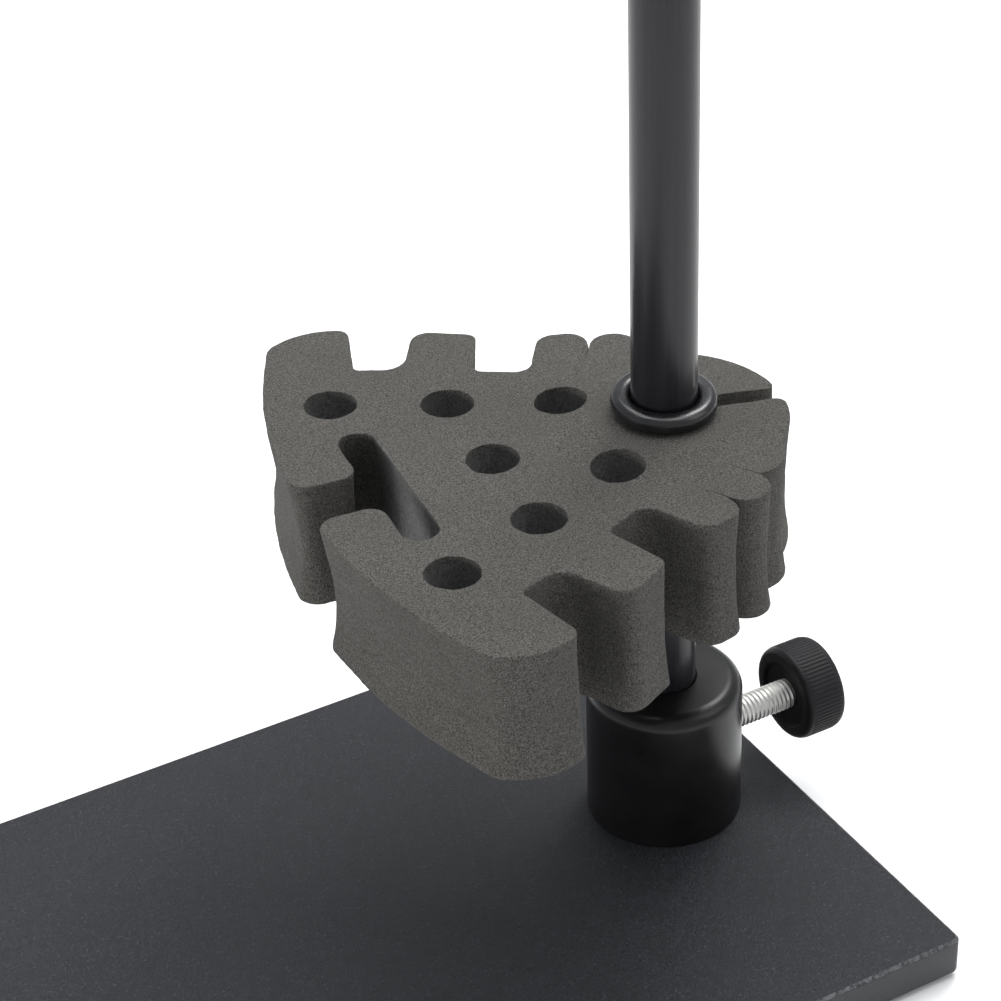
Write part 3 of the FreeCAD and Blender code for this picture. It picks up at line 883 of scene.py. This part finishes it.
def drooped(point, height):
    """The foot of the wall goes towards the post.

    It goes more at the fan's far end and on its lower side, and not at all at the post.
    """
    away = held((point.length - DROOP_START) / DROOP_REACH)
    lean = DROOP_MIDDLE - DROOP_LEAN * max(-1.0, min(1.0, point.y / DROOP_SIDE))
    return point + Vector((between(WALL_DROOP, height / FOAM_TOP) * away * lean, 0))


def bowed_rings(points, shares, ragged, sign=1):
    """The wall's rings; sign is -1 for a hole, whose material is outside its loop."""
    normals = outward_normals(points)
    rings = []
    for height, out in wall_section():
        ring = []
        for point, normal, share, loose in zip(points, normals, shares, ragged):
            ripple = sum(depth * noise.noise(Vector((point.x / wide, point.y / wide, height / tall)))
                         for depth, wide, tall in RIPPLES)
            place = drooped(point, height) + normal * sign * (out * share + ripple * loose)
            ring.append(caddy_point(place, height))
        rings.append(ring)
    return rings


def crowned(piece):
    """Let the top rise softly to the ring that rests on it; beyond, the foam has sunk a little."""
    work = bmesh.new()
    work.from_mesh(piece.data)
    top = FOAM_HIGH.z - 0.001 * MM
    roof = {face for face in work.faces if all(vertex.co.z > top for vertex in face.verts)}
    inner = [edge for edge in work.edges if all(face in roof for face in edge.link_faces)]
    bmesh.ops.subdivide_edges(work, edges=inner, cuts=CROWN_CUTS, use_grid_fill=True)
    bmesh.ops.triangulate(work, faces=[face for face in work.faces if len(face.verts) > 4])
    near, far = CROWN_REACH
    for vertex in work.verts:
        place = vertex.co
        away = held((far - place.to_2d().length) / (far - near))
        high = max(0.0, 2 * (place.z - FOAM_LOW.z) / (FOAM_HIGH.z - FOAM_LOW.z) - 1)
        place.z += CROWN * away * away * (3 - 2 * away) * high * high
    keep_crisp(work, 26)
    work.to_mesh(piece.data)
    work.free()


def recess_paleness_and_painted_light(face, place, centres):
    """How pale a wall is in a bored hole, or less so inside the slot: more with its depth, as painted light
    over the shade inside.
    """
    if abs(face.normal.z) > LEVEL_RISE:
        return 0.0
    flat = Matrix.Rotation(-FOAM_TURN, 2) @ place.to_2d() / MM
    deep = held((FOAM_HIGH.z - place.z) / PAINTED_LIGHT_DEPTH)
    in_width = SLOT_NEAR - SLOT_INNER_REACH < flat.x < SLOT_NEAR + SLOT_OUTER_REACH
    if in_width and abs(flat.y) < SLOT_END + SLOT_END_REACH:
        middle = held((SLOT_END - SLOT_END_REACH - abs(flat.y)) / SLOT_END_FADE)
        return (SLOT_PALENESS + SLOT_DEEP_PALENESS * deep) * middle
    if any((flat - Vector(centre)).length < HOLE_RADIUS + HOLE_REACH for centre in centres):
        return HOLE_PALENESS * deep
    return 0.0


def make_foam_caddy():
    """The foam block, with its outer wall and its bored holes as separate walls."""
    outline = caddy_outline()
    if sum(a[0].cross(b[0]) for a, b in zip(outline, outline[1:] + outline[:1])) < 0:
        outline.reverse()
    points = [point for point, share, ragged in outline]
    kerfs = [kerf_share(point) for point in points]
    shares = [share * kerf for (point, share, ragged), kerf in zip(outline, kerfs)]
    raggeds = [ragged * kerf for (point, share, ragged), kerf in zip(outline, kerfs)]
    loops = [bowed_rings(points, shares, raggeds)]
    centres = [(CENTRE_HOLE, 0)]
    for across, along in SIDE_HOLES:
        centres += [(across, along), (across, -along)]
    for centre in centres:
        circle = circle_points(centre, HOLE_RADIUS, HOLE_STEPS)
        loops.append(bowed_rings(circle, [HOLE_BOW] * HOLE_STEPS, [HOLE_RAGGEDNESS] * HOLE_STEPS, -1))
    piece = walled_block("foam_caddy_block", loops, 50)
    crowned(piece)
    mark_faces(piece, "cut_wall", lambda face, place: float(abs(face.normal.z) <= LEVEL_RISE))
    mark_faces(piece, "bored", lambda face, place: recess_paleness_and_painted_light(face, place, centres))
    dress(piece, FOAM)
    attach(piece, "foam_caddy")
    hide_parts("foam_caddy")


# Clamp screw

def grown(piece, tree, values):
    """Run a geometry tree on a piece with these inputs, and keep its result as a plain mesh."""
    modifier = piece.modifiers.new("growth", "NODES")
    modifier.node_group = tree
    for item in tree.interface.items_tree:
        if item.item_type == "SOCKET" and item.in_out == "INPUT" and item.name in values:
            modifier[item.identifier] = values[item.name]
    graph = bpy.context.evaluated_depsgraph_get()
    mesh = bpy.data.meshes.new_from_object(piece.evaluated_get(graph))
    piece.modifiers.remove(modifier)
    piece.data = mesh


KNOB_SIDES, RIB_COUNT = 144, 72
RIB_DEPTH = 0.11 * MM
# A rib's share of its room round the knob, how deep its foot is sunk, how far its ends run into the
# rounded edges, how much of its depth its flanks fall, and its height by the place along it
RIB_WIDTH_SHARE, RIB_SINK, RIB_RUN_IN, RIB_FLANK = 0.62, 0.3 * MM, 0.5 * MM, 0.6
RIB_RISE = [(-0.5, 0.0), (-0.43, 0.7), (-0.36, 1.0), (0.36, 1.0), (0.43, 0.7), (0.5, 0.0)]
KNOB_EDGE = 0.9 * MM
KNOB_RECESS_RADIUS, KNOB_RECESS_DEPTH = 5.7 * MM, 0.7 * MM
# The shallow dish of the knob's outer end, as shares of its radius at its rim and its floor
DISH_RIM, DISH_FLOOR, DISH_DEPTH = 0.72, 0.66, 0.25 * MM
STUD_END_GAP = 0.15 * MM


def make_rib():
    """One rib of the knob's grip: a low ridge with tapered ends, lying along Z, its crest towards +X."""
    width = 2 * math.pi * KNOB_RADIUS / RIB_COUNT * RIB_WIDTH_SHARE
    length = KNOB_HIGH.x - KNOB_LOW.x - 2 * KNOB_EDGE + RIB_RUN_IN
    work = bmesh.new()
    rings = []
    for along, height in RIB_RISE:
        crest = (height - 1) * RIB_DEPTH
        flank = crest - RIB_FLANK * RIB_DEPTH
        section = [(-RIB_SINK, -width / 2), (flank, -width / 2), (crest, -width / 6),
                   (crest, width / 6), (flank, width / 2), (-RIB_SINK, width / 2)]
        if height == 0:
            section = [(-RIB_SINK, y) for x, y in section]
        rings.append([work.verts.new((x, y, along * length)) for x, y in section])
    join_rings(work, rings)
    for ring in (rings[0], rings[-1]):
        work.faces.new(ring)
    return finished("rib", work, 40)


def make_knob_tree():
    """Ribs set on a circle round the knob's body."""
    tree, start, end = new_group("knob_grip", "GeometryNodeTree", [
        ("Body", "NodeSocketObject", None), ("Rib", "NodeSocketObject", None),
        ("Ribs", "NodeSocketInt", RIB_COUNT), ("Radius", "NodeSocketFloat", KNOB_RADIUS),
        ("Middle", "NodeSocketVector", (0, 0, 0)), ("Finish", "NodeSocketMaterial", None),
    ], "Geometry", "NodeSocketGeometry")
    body = add_node(tree, "GeometryNodeObjectInfo", {"Object": start.outputs["Body"]})
    rib = add_node(tree, "GeometryNodeObjectInfo", {"Object": start.outputs["Rib"]})
    circle = add_node(tree, "GeometryNodeMeshCircle", {"Vertices": start.outputs["Ribs"],
                                                       "Radius": start.outputs["Radius"]})
    placed = add_node(tree, "GeometryNodeTransform", {"Geometry": circle.outputs[0],
                                                      "Translation": start.outputs["Middle"]})
    place = add_node(tree, "GeometryNodeInputPosition")
    facing = add_node(tree, "FunctionNodeAlignRotationToVector", {"Vector": place.outputs[0]},
                      axis="X", pivot_axis="Z")
    set_out = add_node(tree, "GeometryNodeInstanceOnPoints", {
        "Points": placed.outputs[0], "Instance": rib.outputs["Geometry"], "Rotation": facing.outputs[0]})
    both = add_node(tree, "GeometryNodeJoinGeometry")
    tree.links.new(body.outputs["Geometry"], both.inputs[0])
    tree.links.new(set_out.outputs[0], both.inputs[0])
    real = add_node(tree, "GeometryNodeRealizeInstances", {"Geometry": both.outputs[0]})
    coloured = add_node(tree, "GeometryNodeSetMaterial", {"Geometry": real.outputs[0],
                                                         "Material": start.outputs["Finish"]})
    tree.links.new(coloured.outputs[0], end.inputs[0])
    return tree


def make_clamp_knob():
    """The knob: a turned body with a recess towards the hub, and a ring of ribs grown on it."""
    near, far = KNOB_LOW.x, KNOB_HIGH.x
    valley = KNOB_RADIUS - RIB_DEPTH
    seat = STUD_RADIUS + RUNNING_GAP
    floor = near + KNOB_RECESS_DEPTH
    dish, seat_end = far - DISH_DEPTH, STUD_HIGH.x + STUD_END_GAP
    corners = [(seat, floor, 0.1 * MM), (KNOB_RECESS_RADIUS, floor, 0.25 * MM),
               (KNOB_RECESS_RADIUS, near, 0.22 * MM), (valley, near, KNOB_EDGE),
               (valley, far, KNOB_EDGE), (valley * DISH_RIM, far, 0.2 * MM),
               (valley * DISH_FLOOR, dish, 0.2 * MM), (0, dish, 0), (0, seat_end, 0), (seat, seat_end, 0)]
    body = turned("knob_body", rounded_profile(corners), KNOB_SIDES)
    rib = make_rib()
    carrier = linked("clamp_knob_ribbed", bpy.data.meshes.new("clamp_knob_ribbed"))
    grown(carrier, make_knob_tree(), {
        "Body": body, "Rib": rib, "Ribs": RIB_COUNT, "Radius": KNOB_RADIUS,
        "Middle": (0, 0, (near + far) / 2), "Finish": KNOB_PLASTIC})
    for spare in (body, rib):
        bpy.data.objects.remove(spare)
    along_x(carrier, CLAMP_HEIGHT)
    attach(carrier, "clamp_knob")
    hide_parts("clamp_knob")


THREAD_PITCH = 0.8 * MM
THREAD_DEPTH = 0.2 * MM
THREAD_SIDES, THREAD_ROWS = 40, 10
# Of half a pitch, the shares that the flat crest and the flank take up
THREAD_CREST, THREAD_FLANK = 0.12, 0.76
STUD_BEVEL = 0.55 * MM


def make_clamp_stud():
    """The clamp screw's thread: a grid round the axis, whose radius follows a helix."""
    low, high = STUD_LOW.x, STUD_HIGH.x
    rows = math.ceil((high - low) / THREAD_PITCH * THREAD_ROWS)
    work = bmesh.new()
    rings = []
    for row in range(rows + 1):
        place = low + (high - low) * row / rows
        end_gap = min(place - low, high - place)
        limit = STUD_RADIUS - STUD_BEVEL + end_gap
        ring = []
        for i in range(THREAD_SIDES):
            turn = 2 * math.pi * i / THREAD_SIDES
            phase = ((place - low) / THREAD_PITCH - i / THREAD_SIDES) % 1
            fall = held((abs(phase - 0.5) * 2 - THREAD_CREST) / THREAD_FLANK)
            radius = min(STUD_RADIUS - THREAD_DEPTH * fall, limit)
            ring.append(work.verts.new((radius * math.cos(turn), radius * math.sin(turn), place)))
        rings.append(ring)
    join_rings(work, rings)
    for ring in (rings[0], rings[-1]):
        work.faces.new(ring)
    piece = along_x(finished("clamp_stud_threaded", work, 60), CLAMP_HEIGHT)
    dress(piece, ZINC_STEEL)
    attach(piece, "clamp_stud")
    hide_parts("clamp_stud")


# Camera, light and ground

FRAME_WIDTH = 1001
FOCAL_PIXELS = 2771.27
SENSOR_WIDTH = 36
CAMERA_PLACE = Vector((-190.29, -298.77, 290.85)) * MM + Vector((0, 0, PLATE_TOP))
CAMERA_DOWN, CAMERA_ROLL, CAMERA_HEADING = 0.579495832, 0.0382903228, -0.496634184
LIGHTS_AIM = Vector((-0.01, 0, 0.06))
FLOOR_SIZE = 6


def make_camera():
    """The photograph's own view, from the fitted place, heading, dip and roll."""
    sin_a, cos_a = math.sin(CAMERA_HEADING), math.cos(CAMERA_HEADING)
    sin_e, cos_e = math.sin(CAMERA_DOWN), math.cos(CAMERA_DOWN)
    ahead = Vector((-sin_a * cos_e, cos_a * cos_e, -sin_e))
    level = Vector((cos_a, sin_a, 0))
    down = ahead.cross(level)
    right = math.cos(CAMERA_ROLL) * level + math.sin(CAMERA_ROLL) * down
    under = -math.sin(CAMERA_ROLL) * level + math.cos(CAMERA_ROLL) * down
    data = bpy.data.cameras.new("camera")
    data.sensor_width = SENSOR_WIDTH
    data.sensor_fit = "HORIZONTAL"
    data.lens = FOCAL_PIXELS / FRAME_WIDTH * SENSOR_WIDTH
    data.clip_start, data.clip_end = 0.02, 20
    camera = linked("camera", data)
    turn = Matrix((right, -under, -ahead)).transposed().to_4x4()
    camera.matrix_world = Matrix.Translation(CAMERA_PLACE) @ turn
    bpy.context.scene.camera = camera


def make_light(name, azimuth, elevation, distance, width, height, power, mirrored=True):
    """A softbox aimed at the stand, which can be left out of reflections.

    Angles are in degrees, with azimuth 0 at +X and 90 at +Y. Sizes are in metres and the power in watts.
    """
    turn, rise = math.radians(azimuth), math.radians(elevation)
    away = Vector((math.cos(turn) * math.cos(rise), math.sin(turn) * math.cos(rise), math.sin(rise)))
    data = bpy.data.lights.new(name, "AREA")
    data.shape = "RECTANGLE"
    data.size, data.size_y = width, height
    data.energy = power
    light = linked(name, data)
    light.visible_glossy = mirrored
    light.location = LIGHTS_AIM + away * distance
    light.rotation_euler = away.to_track_quat("Z", "Y").to_euler()


def make_studio():
    """A pale floor and soft light all round, with four softboxes."""
    floor = bmesh.new()
    bmesh.ops.create_grid(floor, x_segments=1, y_segments=1, size=FLOOR_SIZE)
    mesh = bpy.data.meshes.new("floor")
    floor.to_mesh(mesh)
    floor.free()
    ground = linked("floor", mesh)
    paper = bpy.data.materials.new("paper")
    paper.use_nodes = True
    shader = paper.node_tree.nodes["Principled BSDF"]
    shader.inputs["Base Color"].default_value = (0.88, 0.88, 0.88, 1)
    shader.inputs["Roughness"].default_value = 0.9
    shader.inputs["Specular IOR Level"].default_value = 0.1
    mesh.materials.append(paper)
    world = bpy.data.worlds.new("studio")
    world.use_nodes = True
    sky = world.node_tree.nodes["Background"]
    sky.inputs["Color"].default_value = (0.95, 0.97, 1.0, 1)
    sky.inputs["Strength"].default_value = 0.6
    bpy.context.scene.world = world
    make_light("overhead", 45, 74, 1.6, 1.5, 1.5, 28)
    make_light("strip", 34, 50, 1.2, 0.34, 0.34, 4.5)
    make_light("side", -40, 38, 1.6, 0.9, 0.9, 4)
    make_light("left", 174, 5, 1.6, 1.2, 0.3, 16, mirrored=False)
    bpy.context.scene.view_settings.view_transform = "Standard"


def main():
    make_studio()
    make_camera()
    make_base_plate()
    make_hub()
    make_post()
    make_ring("lower_ring")
    make_ring("upper_ring", UPPER_RING_SLANT)
    make_foam_caddy()
    make_clamp_knob()
    make_clamp_stud()
    for number in (1, 2, 3):
        dress(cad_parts[f"hub_screw_{number}"], SCREW_STEEL)
    dress(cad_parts["base_pad"], PAD_RUBBER)


main()
